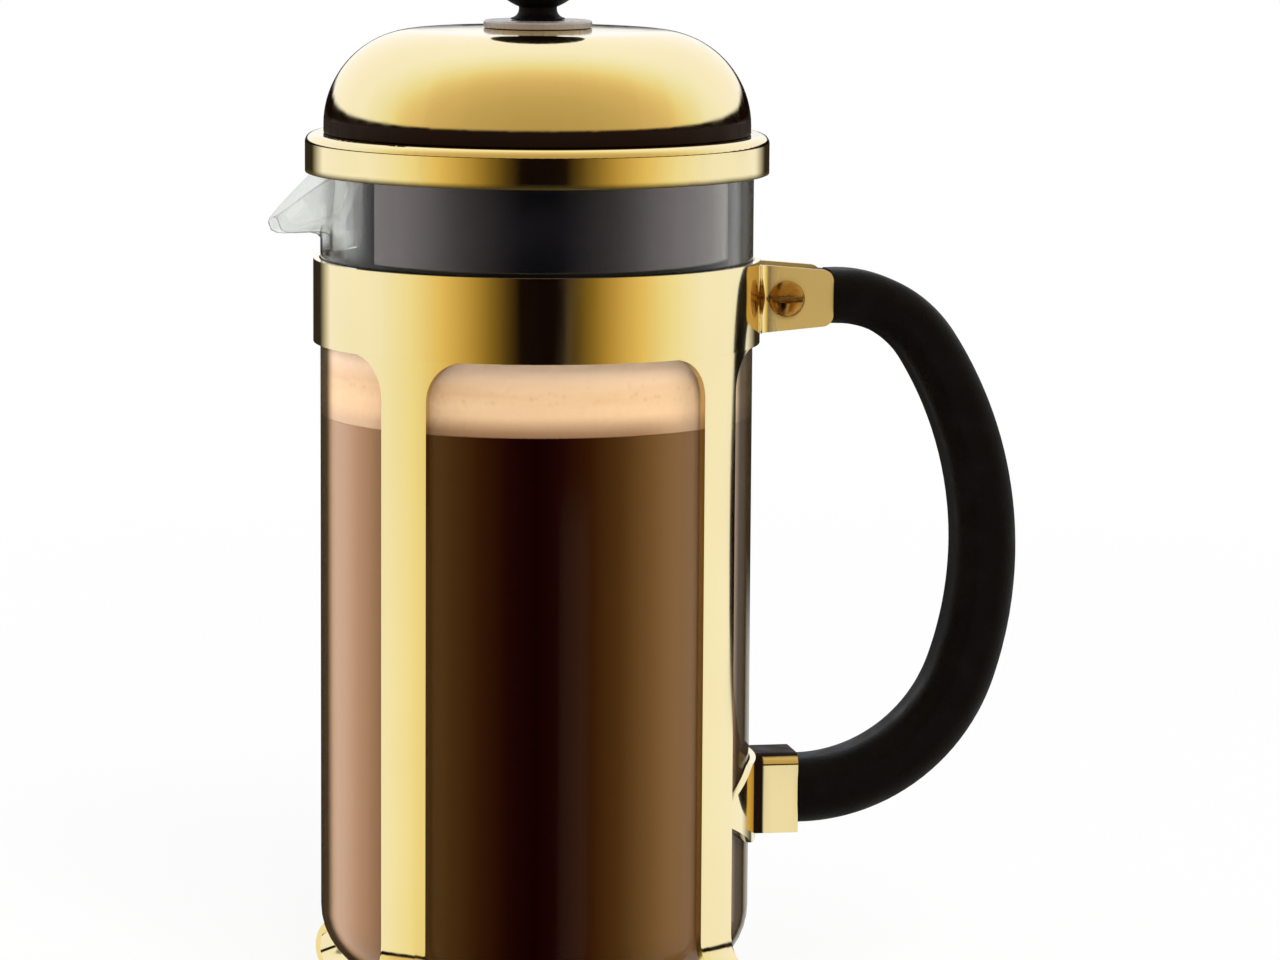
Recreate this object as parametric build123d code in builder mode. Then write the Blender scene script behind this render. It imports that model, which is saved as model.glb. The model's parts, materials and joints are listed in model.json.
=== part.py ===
from build123d import *
import os
from math import acos, cos, degrees, pi, radians, sin, sqrt

# French press: glass beaker in a sheet metal frame, domed lid, plunger with a three layer filter.
# Millimetres. Origin on the beaker's axis at table level, +Z up, handle towards +X, spout towards -X.

# Clearances
slide_gap = 0.3          # between curved faces of pieces that move past each other
running_gap = 0.05       # radial, rod in its bushing and hub
seat_gap = 0.1           # between pieces that rest on each other
fit_gap = 0.02           # radial, fixed pins and inserts in their holes

# Beaker
beaker_od = 96.0
beaker_height = 182.0
glass_wall = 2.2
glass_floor = 2.6
glass_corner_r = 15.0
rim_bevel = 0.8
beaker_stand = 9.0       # beaker's underside above the table

# Spout, an oblique half cone pulled out of the rim
spout_reach = 11.9       # tip from the beaker's wall
spout_root_half_width = 16.0
spout_root_drop = 9.5    # half height of the cone where it leaves the wall
spout_tip_r = 4.6
spout_nose_r = 4.0       # plan rounding of the lip
spout_axis_below_rim = 5.0
spout_tip_fall = 5.0     # the cone's axis drops this much from root to tip
spout_lip_root_below_rim = 3.8
spout_lip_tip_below_rim = 12.2

# Frame
sheet = 1.3
band_height = 18.5
band_below_rim = 21.2
leg_width = 12.0
leg_flare_r = 9.0        # concave corner where a leg runs into the band
foot_height = 22.0       # where the leg starts to flare
foot_flare_r = 10.0
foot_flare_angle = 60.0
foot_flat = 6.5          # length that stands on the table
foot_rise_r = 4.5
leg_inner_end = 11.0     # radius where the leg ends under the beaker
first_leg_angle = 45
base_plate_r = 22.0
rivet_circle_r = 15.0
rivet_r = 1.6
rivet_head_r = 3.0
rivet_head_height = 1.2
rivet_head_taper = 20

# Handle and its brackets
tongue_width = 12.0
ear_length = 16.3
ear_root_height = 15.4
ear_end_height = 12.3
ear_corner_r = 2.5
ear_bend_r = 2.5
strap_height = 5.6       # where it meets the legs
strap_half_length = 18.0  # half of its full height stretch, before it narrows to the legs
strap_corner_r = 8.0
strap_above_base = 39.5  # strap's middle above the beaker's underside
bracket_length = 9.4
bracket_height = 18.0
tongue_step = 0.4        # the handle's tongues are lower than its ends by this on each side
handle_width = 16.0
handle_top_depth = 12.0
handle_mid_depth = 13.9
handle_low_depth = 14.7
handle_edge_r = 5.0
handle_reach = 60.0      # outermost point from the frame's outside
handle_top_swell = 9.5   # how far the outer arc stands out past the upper one
handle_low_swell = 2.5   # the same for the lower arc
handle_top_lead = 2.0
handle_low_lead = 1.5

# Fasteners
clamp_screw_r = 2.0
clamp_head_r = 4.0
clamp_head_height = 2.4
clamp_screw_inset = 10.7  # from the ear's end
clamp_nut_r = 4.0
clamp_nut_height = 4.2
lower_screw_r = 1.9
lower_head_r = 3.3
lower_screw_reach = 11.0
insert_wall = 1.3

# Lid
lid_rim_overhang = 3.4   # the rim's outside past the glass
lid_rim_height = 8.6
lid_rim_sheet = 1.2
lid_rim_round = 2.0
lid_rim_overlap = 2.2    # the rim reaches this far below the glass rim
dome_step = 4.1          # the dome's outside in from the rim's
dome_wall_height = 1.74  # upright wall below the shoulder
dome_sheet = 0.9
dome_shoulder_r = 21.0
dome_crown_angle = 2.0   # slope of the nearly flat crown where it meets the shoulder
liner_sheet = 1.6
liner_skirt_gap = 2.7    # skirt's outside in from the glass
liner_flange = 6.0       # how far the liner's disc stands out past the skirt
liner_skirt_depth = 31.0
pour_gap_angle = 54.0    # the skirt is open over this angle on the spout side
slot_count = 11
slot_width = 1.6
slot_height = 13.0
slot_pitch_angle = 5.0
slot_below_disc = 3.0
bushing_wall = 1.7
bushing_head_r = 12.0
bushing_head_height = 1.6
bushing_nut_r = 7.0
bushing_nut_height = 3.2

# Plunger
rod_r = 2.25
knob_foot_r = 6.0
knob_foot_height = 0.3
knob_neck_r = 4.2
knob_neck_height = 2.3   # where the foot's flare ends
knob_ball_r = 11.8
knob_neck_length = 0.47  # straight neck between the flare and the ball
knob_lift = 0.2          # knob above the bushing when the plunger is down
knob_insert_wall = 1.0
knob_insert_length = 12.0
filter_above_base = 20.0  # cross plate's underside above the beaker's underside
cross_plate_inset = 4.5  # in from the mesh's edge
cross_plate_sheet = 1.2
cross_rim = 5.0
cross_arm_width = 9.0
mesh_sheet = 0.5
mesh_lip_height = 3.0
spiral_sheet = 0.8
spring_wire_envelope_r = 1.4
hole_r = 2.6
hole_ring_count = 4
hole_first_ring_r = 13.0
hole_edge = 3.0          # solid edge outside the last ring
hole_spacing = 8.4
hub_r = 6.5
hub_length = 6.0
collar_r = 5.0
collar_height = 4.0

# Places that follow from the sizes above
beaker_r = beaker_od / 2
bore_r = beaker_r - glass_wall
spout_tip_x = beaker_r + spout_reach
base_z = beaker_stand
rim_z = base_z + beaker_height
cage_inner_r = beaker_r + slide_gap
cage_outer_r = cage_inner_r + sheet
band_top_z = rim_z - band_below_rim
band_low_z = band_top_z - band_height
band_mid_z = band_top_z - band_height / 2
ear_end_x = cage_outer_r + ear_length
clamp_x = ear_end_x - clamp_screw_inset
ear_outer_y = tongue_width / 2 + sheet
insert_r = lower_screw_r + insert_wall
strap_z = base_z + strap_above_base
bracket_low_z = strap_z - bracket_height / 2
bracket_top_z = bracket_low_z + bracket_height
bracket_end_x = cage_outer_r + bracket_length
plate_top_z = base_z - seat_gap
arm_top_z = plate_top_z - sheet
lid_rim_r = beaker_r + lid_rim_overhang
lid_rim_low_z = rim_z - lid_rim_overlap
lid_rim_top_z = lid_rim_low_z + lid_rim_height
disc_low_z = rim_z + seat_gap
skirt_r = bore_r - liner_skirt_gap
dome_r = lid_rim_r - dome_step
dome_low_z = lid_rim_top_z + seat_gap
crown_edge_r = dome_r - dome_shoulder_r * (1 - sin(radians(dome_crown_angle)))
crown_r = crown_edge_r / sin(radians(dome_crown_angle))
dome_shoulder_z = dome_low_z + dome_wall_height
crown_centre_z = dome_shoulder_z - (crown_r - dome_shoulder_r) * cos(radians(dome_crown_angle))
dome_height = crown_centre_z + crown_r - dome_low_z
bushing_bore_r = rod_r + running_gap
bushing_r = bushing_bore_r + bushing_wall
cross_low_z = base_z + filter_above_base
mesh_low_z = cross_low_z + cross_plate_sheet
spiral_low_z = mesh_low_z + mesh_sheet
spiral_top_z = spiral_low_z + spiral_sheet
mesh_r = bore_r - slide_gap
cross_plate_r = mesh_r - cross_plate_inset
spring_mid_r = mesh_r - mesh_sheet - fit_gap - spring_wire_envelope_r
spiral_r = spring_mid_r - spring_wire_envelope_r - fit_gap
leg_angles = {
    "leg_back_right": first_leg_angle,
    "leg_back_left": first_leg_angle + 90,
    "leg_front_left": first_leg_angle + 180,
    "leg_front_right": first_leg_angle + 270,
}

os.makedirs("parts", exist_ok=True)


def save(piece, name):
    """Label a finished piece and write it to its own file."""
    piece.part.label = name
    export_step(piece.part, f"parts/{name}.step")


def polar(radius, angle, z=0.0):
    """Point at a radius and an angle in degrees about the beaker's axis."""
    return (radius * cos(radians(angle)), radius * sin(radians(angle)), z)


def radial_plane(angle, z=0.0):
    """Plane that faces outward at an angle: local x runs round the beaker, local y runs up."""
    return Plane(origin=(0, 0, z), x_dir=polar(1, angle + 90), z_dir=polar(1, angle))


def spout_plane(x, z):
    """Plane across the spout at a distance from the axis: local y runs up."""
    return Plane(origin=(-x, 0, z), x_dir=(0, -1, 0), z_dir=(-1, 0, 0))


# Beaker
spout_root_x = beaker_r - 2 * glass_wall
spout_axis_z = rim_z - spout_axis_below_rim
spout_tip_z = spout_axis_z - spout_tip_fall
channel_top = 2 * (spout_axis_below_rim + spout_tip_fall)  # past the rim at both ends
lip_slope = (spout_lip_tip_below_rim - spout_lip_root_below_rim) / spout_reach


def lip_point(x):
    """Point on the sloping top edge of the spout, at a distance from the axis."""
    return (-x, rim_z - spout_lip_root_below_rim - lip_slope * (x - beaker_r))


with BuildPart() as spout_outside:
    with BuildSketch(spout_plane(spout_root_x, spout_axis_z)):
        Ellipse(spout_root_half_width, spout_root_drop)
    with BuildSketch(spout_plane(spout_tip_x, spout_tip_z)):
        Circle(spout_tip_r)
    loft()
    with BuildSketch(Plane.XZ):
        with BuildLine():
            Polyline(
                lip_point(spout_root_x),
                lip_point(2 * spout_tip_x),
                (-2 * spout_tip_x, 2 * rim_z),
                (-spout_root_x, 2 * rim_z),
                close=True,
            )
        make_face()
    extrude(amount=2 * spout_root_half_width, both=True, mode=Mode.SUBTRACT)
    with BuildSketch(Plane.XY):
        with BuildLine():
            Polyline(
                (-spout_root_x, spout_root_half_width),
                (-spout_tip_x, spout_tip_r),
                (-spout_tip_x, -spout_tip_r),
                (-spout_root_x, -spout_root_half_width),
                close=True,
            )
        make_face()
        fillet(vertices().group_by(Axis.X)[0], radius=spout_nose_r)
    extrude(amount=2 * rim_z, mode=Mode.INTERSECT)


def channel_outline(half_width, drop):
    """Open topped U across the spout: half an ellipse with straight sides above its axis."""
    Polyline(
        (half_width, 0),
        (half_width, channel_top),
        (-half_width, channel_top),
        (-half_width, 0),
    )
    EllipticalCenterArc((0, 0), half_width, drop, start_angle=180, arc_size=180)


with BuildPart() as spout_channel:
    with BuildSketch(spout_plane(spout_root_x, spout_axis_z)):
        with BuildLine():
            channel_outline(spout_root_half_width - glass_wall, spout_root_drop - glass_wall)
        make_face()
    with BuildSketch(spout_plane(spout_tip_x, spout_tip_z)):
        with BuildLine():
            channel_outline(spout_tip_r - glass_wall, spout_tip_r - glass_wall)
        make_face()
    loft()

with BuildPart() as beaker:
    with BuildSketch(Plane.XZ):
        with Locations((0, base_z)):
            Rectangle(beaker_r, beaker_height, align=(Align.MIN, Align.MIN))
        fillet(vertices().group_by(Axis.Y)[0].sort_by(Axis.X)[-1], radius=glass_corner_r)
        chamfer(vertices().group_by(Axis.Y)[-1].sort_by(Axis.X)[-1], length=rim_bevel)
    revolve(axis=Axis.Z)
    add(spout_outside.part)
    with BuildSketch(Plane.XZ):
        with Locations((0, base_z + glass_floor)):
            Rectangle(bore_r, beaker_height, align=(Align.MIN, Align.MIN))
        fillet(
            vertices().group_by(Axis.Y)[0].sort_by(Axis.X)[-1],
            radius=glass_corner_r - glass_wall,
        )
    revolve(axis=Axis.Z, mode=Mode.SUBTRACT)
    add(spout_channel.part, mode=Mode.SUBTRACT)
save(beaker, "beaker")

# Frame band with its two ears
with BuildPart() as frame_band:
    with BuildSketch(Plane.XY.offset(band_low_z)):
        Circle(cage_outer_r)
        Circle(cage_inner_r, mode=Mode.SUBTRACT)
        with Locations((cage_outer_r, 0)):
            Rectangle(beaker_r, tongue_width, mode=Mode.SUBTRACT)
    extrude(amount=band_height)
    for ear_face_y in (tongue_width / 2, -tongue_width / 2 - sheet):
        with BuildSketch(Plane.XZ.offset(-ear_face_y - sheet)):
            with BuildLine():
                Polyline(
                    (cage_inner_r, band_mid_z - ear_root_height / 2),
                    (ear_end_x, band_mid_z - ear_end_height / 2),
                    (ear_end_x, band_mid_z + ear_end_height / 2),
                    (cage_inner_r, band_mid_z + ear_root_height / 2),
                    close=True,
                )
            make_face()
            fillet(vertices().group_by(Axis.X)[-1], radius=ear_corner_r)
        extrude(amount=sheet)
    bends = (
        edges()
        .filter_by(Axis.Z)
        .filter_by(lambda e: abs(abs(e.center().Y) - tongue_width / 2 - sheet) < sheet / 10)
        .filter_by(lambda e: abs(e.center().Z - band_mid_z) < sheet)
        .filter_by(lambda e: e.center().X < ear_end_x - ear_length / 2)
    )
    fillet(bends, radius=ear_bend_r)
    with Locations((clamp_x, 0, band_mid_z)):
        Cylinder(
            clamp_screw_r + fit_gap,
            2 * tongue_width,
            rotation=(90, 0, 0),
            mode=Mode.SUBTRACT,
        )
save(frame_band, "frame_band")

# Legs: one strap profile turned round the axis, cut to its width with a flared top
leg_mid_r = cage_inner_r + sheet / 2
foot_drop = foot_height - foot_flare_r * sin(radians(foot_flare_angle)) - sheet / 2
foot_curl_r = foot_drop / (1 + sin(radians(foot_flare_angle)))
rise = arm_top_z - sheet
rise_angle = degrees(acos(1 - rise / (2 * foot_rise_r)))

for leg_name, leg_angle in leg_angles.items():
    with BuildPart() as leg:
        with BuildSketch(Plane.XZ):
            with BuildLine():
                upright = Line((leg_mid_r, band_low_z), (leg_mid_r, foot_height))
                flare = JernArc(upright @ 1, upright % 1, foot_flare_r, foot_flare_angle)
                curl = JernArc(flare @ 1, flare % 1, foot_curl_r, -90 - foot_flare_angle)
                sole = Line(curl @ 1, curl @ 1 - (foot_flat, 0))
                rise_start = JernArc(sole @ 1, (-1, 0), foot_rise_r, -rise_angle)
                rise_end = JernArc(rise_start @ 1, rise_start % 1, foot_rise_r, rise_angle)
                Line(rise_end @ 1, (leg_inner_end, (rise_end @ 1).Y))
                offset(amount=sheet / 2, side=Side.BOTH)
            make_face()
        revolve(axis=Axis.Z)
        with BuildSketch(radial_plane(leg_angle)):
            with BuildLine():
                top_half = leg_width / 2 + leg_flare_r
                flare_z = band_low_z - leg_flare_r
                right_low = (leg_width / 2, -sheet)
                right_top = (leg_width / 2, flare_z)
                side = Line(right_low, right_top)
                flare_top = RadiusArc(side @ 1, (top_half, band_low_z), leg_flare_r)
                Line(flare_top @ 1, (0, band_low_z))
                mirror(about=Plane.YZ)
                Line((-leg_width / 2, -sheet), right_low)
            make_face()
        extrude(amount=2 * beaker_od, mode=Mode.INTERSECT)
        with Locations(polar(rivet_circle_r, leg_angle, arm_top_z)):
            Cylinder(rivet_r + fit_gap, 4 * sheet, mode=Mode.SUBTRACT)
    save(leg, leg_name)

# Base plate and its rivets
with BuildPart() as base_plate:
    with BuildSketch(Plane.XY.offset(arm_top_z)):
        Circle(base_plate_r)
        with PolarLocations(rivet_circle_r, len(leg_angles), start_angle=first_leg_angle):
            Circle(rivet_r + fit_gap, mode=Mode.SUBTRACT)
    extrude(amount=sheet)
save(base_plate, "base_plate")

with BuildPart() as base_rivets:
    with BuildSketch(Plane.XY.offset(arm_top_z - sheet)):
        with PolarLocations(rivet_circle_r, len(leg_angles), start_angle=first_leg_angle):
            Circle(rivet_r)
    extrude(amount=2 * sheet)
    with BuildSketch(Plane.XY.offset(arm_top_z - sheet)):
        with PolarLocations(rivet_circle_r, len(leg_angles), start_angle=first_leg_angle):
            Circle(rivet_head_r)
    extrude(amount=-rivet_head_height, taper=rivet_head_taper)
save(base_rivets, "base_rivets")

# Cross strap between the two legs on the handle side
strap_apex_x = leg_width / sqrt(2)
strap_span = 2 * beaker_od
with BuildPart() as handle_strap:
    with BuildSketch(Plane.XY.offset(bracket_low_z)):
        Circle(cage_outer_r)
        Circle(cage_inner_r, mode=Mode.SUBTRACT)
    extrude(amount=bracket_height)
    with BuildSketch(Plane.XY.offset(bracket_low_z)):
        with BuildLine():
            Polyline(
                (strap_apex_x, 0),
                (strap_apex_x + strap_span, strap_span),
                (strap_apex_x + strap_span, -strap_span),
                close=True,
            )
        make_face()
    extrude(amount=bracket_height, mode=Mode.INTERSECT)
    with BuildSketch(Plane.YZ):
        with BuildLine():
            strap_end_y = cage_outer_r
            narrow_y = (cage_outer_r - leg_width / 2) / sqrt(2)
            Polyline(
                (0, bracket_top_z),
                (strap_half_length, bracket_top_z),
                (narrow_y, strap_z + strap_height / 2),
                (strap_end_y, strap_z + strap_height / 2),
                (strap_end_y, strap_z - strap_height / 2),
                (narrow_y, strap_z - strap_height / 2),
                (strap_half_length, bracket_low_z),
                (0, bracket_low_z),
            )
            mirror(about=Plane.YZ)
        make_face()
        corners = vertices().filter_by(lambda v: abs(abs(v.X) - strap_half_length) < fit_gap)
        fillet(corners, radius=strap_corner_r)
    extrude(amount=beaker_od, mode=Mode.INTERSECT)
    with Locations(Plane(origin=(cage_inner_r, 0, strap_z), z_dir=(-1, 0, 0))):
        CounterSinkHole(lower_screw_r + fit_gap, lower_head_r + fit_gap)
save(handle_strap, "handle_strap")

# Lower bracket: two cheeks and a top web, welded to the strap
with BuildPart() as lower_bracket:
    with BuildSketch(Plane.YZ):
        with Locations((0, bracket_low_z)):
            Rectangle(
                tongue_width + 2 * sheet, bracket_height, align=(Align.CENTER, Align.MIN)
            )
        fillet(vertices().group_by(Axis.Y)[-1], radius=2 * sheet)
        with Locations((0, bracket_low_z)):
            Rectangle(
                tongue_width,
                bracket_height - sheet,
                align=(Align.CENTER, Align.MIN),
                mode=Mode.SUBTRACT,
            )
    extrude(amount=bracket_end_x)
    with BuildSketch(Plane.XY):
        Circle(cage_outer_r)
    extrude(amount=rim_z, mode=Mode.SUBTRACT)
save(lower_bracket, "lower_bracket")

# Handle: three tangent arcs between the upper ears and the lower bracket, with a tongue at each end
path_reach = cage_outer_r + handle_reach - handle_mid_depth / 2
top_x = ear_end_x + handle_top_lead
low_x = bracket_end_x + handle_low_lead
top_z = band_mid_z
low_z = strap_z
handle_top_r = path_reach - top_x - handle_top_swell
handle_low_r = path_reach - low_x - handle_low_swell
top_centre_z = top_z - handle_top_r
low_centre_z = low_z + handle_low_r
# The outer arc touches both end arcs and the reach: its centre lies where two parabolas cross
top_k = 1 / (2 * handle_top_swell)
low_k = 1 / (2 * handle_low_swell)
quad_a = top_k - low_k
quad_b = -2 * (top_k * top_centre_z - low_k * low_centre_z)
quad_c = (
    top_k * top_centre_z**2
    - low_k * low_centre_z**2
    - (top_x + handle_top_swell / 2)
    + (low_x + handle_low_swell / 2)
)
quad_root = sqrt(quad_b**2 - 4 * quad_a * quad_c)
outer_z = min(
    ((-quad_b + sign * quad_root) / (2 * quad_a) for sign in (1, -1)),
    key=lambda z: abs(z - (top_z + low_z) / 2),
)
outer_x = top_x + handle_top_swell / 2 - top_k * (outer_z - top_centre_z) ** 2
outer_r = path_reach - outer_x
top_turn = degrees(acos((top_centre_z - outer_z) / (outer_r - handle_top_r)))
low_turn = degrees(acos((outer_z - low_centre_z) / (outer_r - handle_low_r)))

with BuildPart() as handle_grip:
    with BuildLine(Plane.XZ):
        top_lead = Line((ear_end_x, top_z), (top_x, top_z))
        top_arc = JernArc(top_lead @ 1, (1, 0), handle_top_r, -top_turn)
        outer_arc = JernArc(top_arc @ 1, top_arc % 1, outer_r, top_turn + low_turn - 180)
        low_arc = JernArc(outer_arc @ 1, outer_arc % 1, handle_low_r, -low_turn)
        Line(low_arc @ 1, (bracket_end_x, low_z))
    sections = (
        ((ear_end_x, 0, top_z), (1, 0, 0), handle_top_depth),
        ((path_reach, 0, outer_z), (0, 0, -1), handle_mid_depth),
        ((bracket_end_x, 0, low_z), (-1, 0, 0), handle_low_depth),
    )
    for section_centre, direction, depth in sections:
        with BuildSketch(Plane(origin=section_centre, x_dir=(0, 1, 0), z_dir=direction)):
            RectangleRounded(handle_width, depth, handle_edge_r)
    sweep(multisection=True)
    tongues = ((ear_end_x, top_z, handle_top_depth), (bracket_end_x, low_z, handle_low_depth))
    for tongue_end_x, tongue_z, depth in tongues:
        with BuildSketch(Plane.YZ.offset(tongue_end_x)):
            with Locations((0, tongue_z)):
                Rectangle(tongue_width - 2 * seat_gap, depth - 2 * tongue_step)
        extrude(amount=cage_inner_r - tongue_end_x)
    with BuildSketch(Plane.XY):
        Circle(cage_outer_r + seat_gap)
    extrude(amount=rim_z, mode=Mode.SUBTRACT)
    with Locations((clamp_x, 0, band_mid_z)):
        Cylinder(
            clamp_screw_r + fit_gap, 2 * tongue_width, rotation=(90, 0, 0), mode=Mode.SUBTRACT
        )
    with BuildSketch(Plane.YZ):
        with Locations((0, strap_z)):
            Circle(insert_r + fit_gap)
    extrude(amount=cage_outer_r + lower_screw_reach, mode=Mode.SUBTRACT)
save(handle_grip, "handle_grip")

# Upper clamp screw and its domed nut, across the ears
with BuildPart() as clamp_screw:
    with BuildSketch(Plane(origin=(clamp_x, 0, band_mid_z), x_dir=(1, 0, 0), z_dir=(0, 0, 1))):
        with BuildLine():
            head_y = -ear_outer_y - clamp_head_height
            head_edge_y = -ear_outer_y - clamp_head_height / 3
            Polyline(
                (0, head_y),
                (0, ear_outer_y + clamp_nut_height / 2),
                (clamp_screw_r, ear_outer_y + clamp_nut_height / 2),
                (clamp_screw_r, -ear_outer_y),
                (clamp_head_r, -ear_outer_y),
                (clamp_head_r, head_edge_y),
            )
            TangentArc((0, head_y), (clamp_head_r, head_edge_y), tangent=(1, 0))
        make_face()
    revolve(axis=Axis((clamp_x, 0, band_mid_z), (0, 1, 0)))
    with Locations((clamp_x, head_y, band_mid_z)):
        Box(2 * clamp_head_r, clamp_head_height, sheet, mode=Mode.SUBTRACT)
save(clamp_screw, "clamp_screw")

with BuildPart() as clamp_nut:
    with BuildSketch(Plane.XZ.offset(-ear_outer_y)):
        with Locations((clamp_x, band_mid_z)):
            RegularPolygon(clamp_nut_r, 6)
    extrude(amount=-clamp_nut_height)
    nut_top = faces().sort_by(Axis.Y)[-1]
    fillet(nut_top.edges(), radius=sheet / 2)
    with Locations((clamp_x, ear_outer_y, band_mid_z)):
        Cylinder(
            clamp_screw_r + fit_gap,
            clamp_nut_height + fit_gap,
            rotation=(90, 0, 0),
            mode=Mode.SUBTRACT,
        )
save(clamp_nut, "clamp_nut")

# Lower screw from inside the strap, and the insert it bites into
lower_tip_x = cage_outer_r + lower_screw_reach - sheet
head_depth = lower_head_r - lower_screw_r
with BuildPart() as lower_screw:
    with BuildSketch(Plane.XZ):
        with BuildLine():
            Polyline(
                (cage_inner_r, strap_z),
                (cage_inner_r, strap_z + lower_head_r),
                (cage_inner_r + head_depth, strap_z + lower_screw_r),
                (lower_tip_x, strap_z + lower_screw_r),
                (lower_tip_x, strap_z),
                close=True,
            )
        make_face()
    revolve(axis=Axis((0, 0, strap_z), (1, 0, 0)))
save(lower_screw, "lower_screw")

with BuildPart() as handle_insert:
    with BuildSketch(Plane.YZ.offset(cage_outer_r + seat_gap)):
        with Locations((0, strap_z)):
            Circle(insert_r)
            Circle(lower_screw_r + fit_gap, mode=Mode.SUBTRACT)
    extrude(amount=lower_screw_reach - seat_gap)
save(handle_insert, "handle_insert")

# Lid rim, a ring with an inward flange that the dome stands on
with BuildPart() as lid_rim:
    with BuildSketch(Plane.XZ):
        with Locations((dome_r - 2 * dome_sheet, lid_rim_low_z)):
            Rectangle(
                lid_rim_r - dome_r + 2 * dome_sheet, lid_rim_height, align=(Align.MIN, Align.MIN)
            )
        fillet(vertices().group_by(Axis.Y)[-1].sort_by(Axis.X)[-1], radius=lid_rim_round)
        with Locations((0, lid_rim_low_z)):
            Rectangle(
                lid_rim_r - lid_rim_sheet,
                lid_rim_height - lid_rim_sheet,
                align=(Align.MIN, Align.MIN),
                mode=Mode.SUBTRACT,
            )
    revolve(axis=Axis.Z)
save(lid_rim, "lid_rim")


def dome_profile(inset):
    """Half section of the dome, moved in by an inset, closed along the axis."""
    wall = Line((dome_r - inset, dome_low_z), (dome_r - inset, dome_shoulder_z))
    shoulder = JernArc(wall @ 1, (0, 1), dome_shoulder_r - inset, 90 - dome_crown_angle)
    crown = JernArc(shoulder @ 1, shoulder % 1, crown_r - inset, dome_crown_angle)
    Polyline(crown @ 1, (0, dome_low_z), wall @ 0)


with BuildPart() as lid_dome:
    with BuildSketch(Plane.XZ):
        with BuildLine():
            dome_profile(0)
        make_face()
        with BuildLine():
            dome_profile(dome_sheet)
        make_face(mode=Mode.SUBTRACT)
    revolve(axis=Axis.Z)
    with BuildSketch(Plane.XY.offset(dome_low_z)):
        Circle(bushing_r + fit_gap)
    extrude(amount=2 * dome_height, mode=Mode.SUBTRACT)
save(lid_dome, "lid_dome")

# Liner: disc on the glass rim, skirt inside the glass, open at the spout, strainer slots opposite
with BuildPart() as lid_liner:
    with BuildSketch(Plane.XY.offset(disc_low_z)):
        Circle(skirt_r + liner_flange)
        Circle(bushing_r + fit_gap, mode=Mode.SUBTRACT)
    extrude(amount=liner_sheet)
    with BuildSketch(Plane.XY.offset(disc_low_z)):
        Circle(skirt_r)
        Circle(skirt_r - liner_sheet, mode=Mode.SUBTRACT)
    extrude(amount=-liner_skirt_depth)
    with BuildSketch(Plane.XY.offset(disc_low_z)):
        with BuildLine():
            Polyline(
                (0, 0),
                polar(2 * skirt_r, 180 - pour_gap_angle / 2)[:2],
                polar(2 * skirt_r, 180 + pour_gap_angle / 2)[:2],
                close=True,
            )
        make_face()
    extrude(amount=-liner_skirt_depth, mode=Mode.SUBTRACT)
    slot_z = disc_low_z - slot_below_disc - slot_height / 2
    for slot_index in range(slot_count):
        slot_angle = (slot_index - (slot_count - 1) / 2) * slot_pitch_angle
        with BuildSketch(radial_plane(slot_angle, slot_z).offset(skirt_r - 2 * liner_sheet)):
            SlotOverall(slot_height, slot_width, rotation=90)
        extrude(amount=3 * liner_sheet, mode=Mode.SUBTRACT)
save(lid_liner, "lid_liner")

# Bushing that guides the rod and ties dome and liner together, with a wide head, and its nut
nut_low_z = disc_low_z - bushing_nut_height
bushing_head_low_z = crown_centre_z + sqrt(crown_r**2 - (bushing_r + fit_gap) ** 2)
bushing_head_top_z = bushing_head_low_z + bushing_head_height
with BuildPart() as lid_bushing:
    with BuildSketch(Plane.XY.offset(nut_low_z)):
        Circle(bushing_r)
    extrude(amount=bushing_head_top_z - nut_low_z)
    with BuildSketch(Plane.XY.offset(bushing_head_low_z)):
        Circle(bushing_head_r)
    extrude(amount=bushing_head_height)
    fillet(edges().group_by(Axis.Z)[-1], radius=bushing_head_height / 3)
    with BuildSketch(Plane.XY.offset(nut_low_z)):
        Circle(bushing_bore_r)
    extrude(amount=bushing_head_top_z - nut_low_z, mode=Mode.SUBTRACT)
save(lid_bushing, "lid_bushing")

with BuildPart() as bushing_nut:
    with BuildSketch(Plane.XY.offset(nut_low_z)):
        RegularPolygon(bushing_nut_r, 6)
        Circle(bushing_r + fit_gap, mode=Mode.SUBTRACT)
    extrude(amount=bushing_nut_height)
save(bushing_nut, "bushing_nut")

# Knob and its threaded insert
knob_low_z = bushing_head_top_z + knob_lift
neck_top_z = knob_low_z + knob_neck_height + knob_neck_length
ball_z = neck_top_z + sqrt(knob_ball_r**2 - knob_neck_r**2)
knob_top_z = ball_z + knob_ball_r
insert_low_z = knob_low_z + slide_gap
insert_top_z = insert_low_z + knob_insert_length
knob_insert_r = rod_r + knob_insert_wall
with BuildPart() as knob:
    with BuildSketch(Plane.XZ):
        with BuildLine():
            foot_edge = (knob_foot_r, knob_low_z + knob_foot_height)
            neck_low = (knob_neck_r, knob_low_z + knob_neck_height)
            neck_high = (knob_neck_r, neck_top_z)
            Polyline((0, knob_top_z), (0, knob_low_z), (knob_foot_r, knob_low_z), foot_edge)
            TangentArc(neck_low, foot_edge, tangent=(0, -1))
            Line(neck_low, neck_high)
            ThreePointArc(neck_high, (knob_ball_r, ball_z), (0, knob_top_z))
        make_face()
    revolve(axis=Axis.Z)
    with BuildSketch(Plane.XY.offset(knob_low_z)):
        Circle(knob_insert_r + fit_gap)
    extrude(amount=insert_top_z - knob_low_z, mode=Mode.SUBTRACT)
save(knob, "knob")

with BuildPart() as knob_insert:
    with BuildSketch(Plane.XY.offset(insert_low_z)):
        Circle(knob_insert_r)
        Circle(rod_r + fit_gap, mode=Mode.SUBTRACT)
    extrude(amount=knob_insert_length)
save(knob_insert, "knob_insert")

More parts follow.
